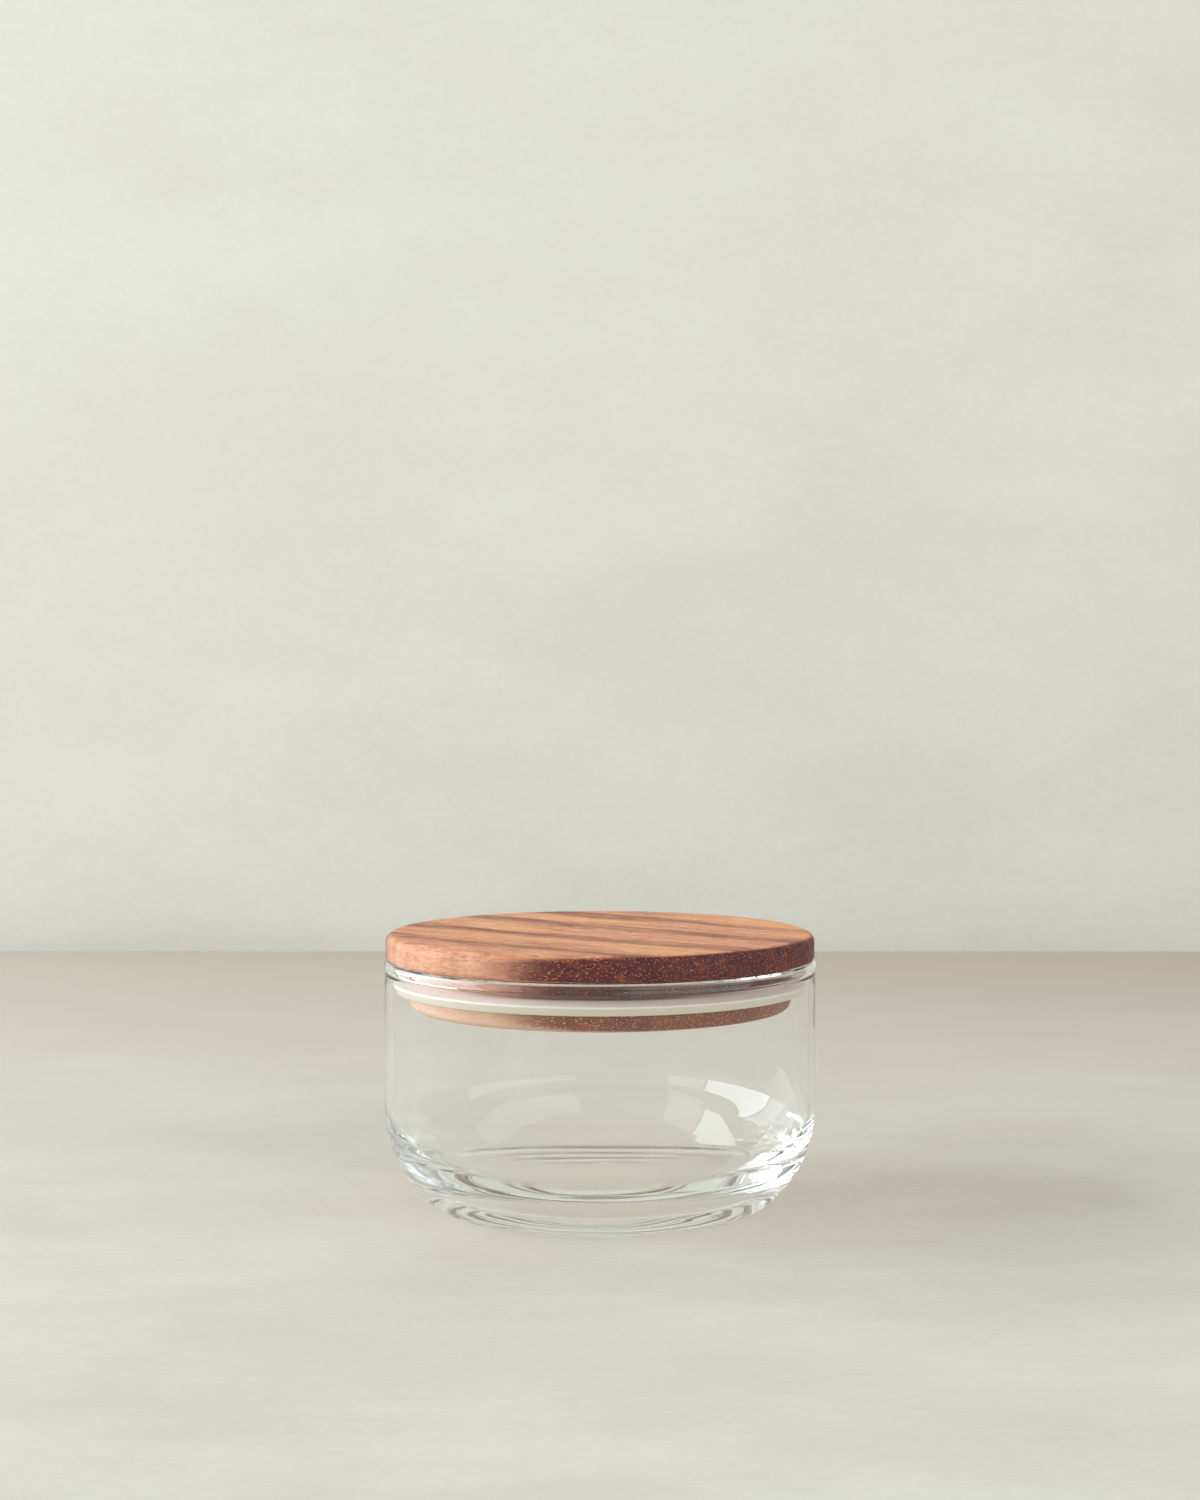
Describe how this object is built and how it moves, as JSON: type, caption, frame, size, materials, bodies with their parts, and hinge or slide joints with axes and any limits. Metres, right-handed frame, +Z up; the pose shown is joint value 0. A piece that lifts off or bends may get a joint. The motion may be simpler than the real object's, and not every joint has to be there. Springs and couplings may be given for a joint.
{
  "type": "food canister",
  "caption": "Squat round glass food canister with a turned wooden lid whose plug is sealed to the glass by a silicone ring; the lid lifts off and turns.",
  "frame": {"origin": "middle of the foot ring, on the surface that the jar stands on", "axes": "+Z up along the jar's axis; -Y faces the viewer; +X to the viewer's right"},
  "size_m": [0.121, 0.121, 0.075],
  "materials": {
    "clear_glass": "clear, fire-polished",
    "oiled_wood": "oiled, satin",
    "white_silicone": "matt white silicone"
  },
  "bodies": {
    "jar": {"glass_jar": "clear_glass"},
    "gasket": {"silicone_gasket": "white_silicone"},
    "lid": {"wooden_lid": "oiled_wood"}
  },
  "joints": [
    {"name": "lid_lift", "type": "slide", "parent": "jar", "child": "gasket", "axis": [0, 0, 1], "range_m": [0, 0.1]},
    {"name": "lid_turn", "type": "hinge", "parent": "gasket", "child": "lid", "pos_m": [0, 0, 0.06], "axis": [0, 0, 1], "continuous": true}
  ]
}
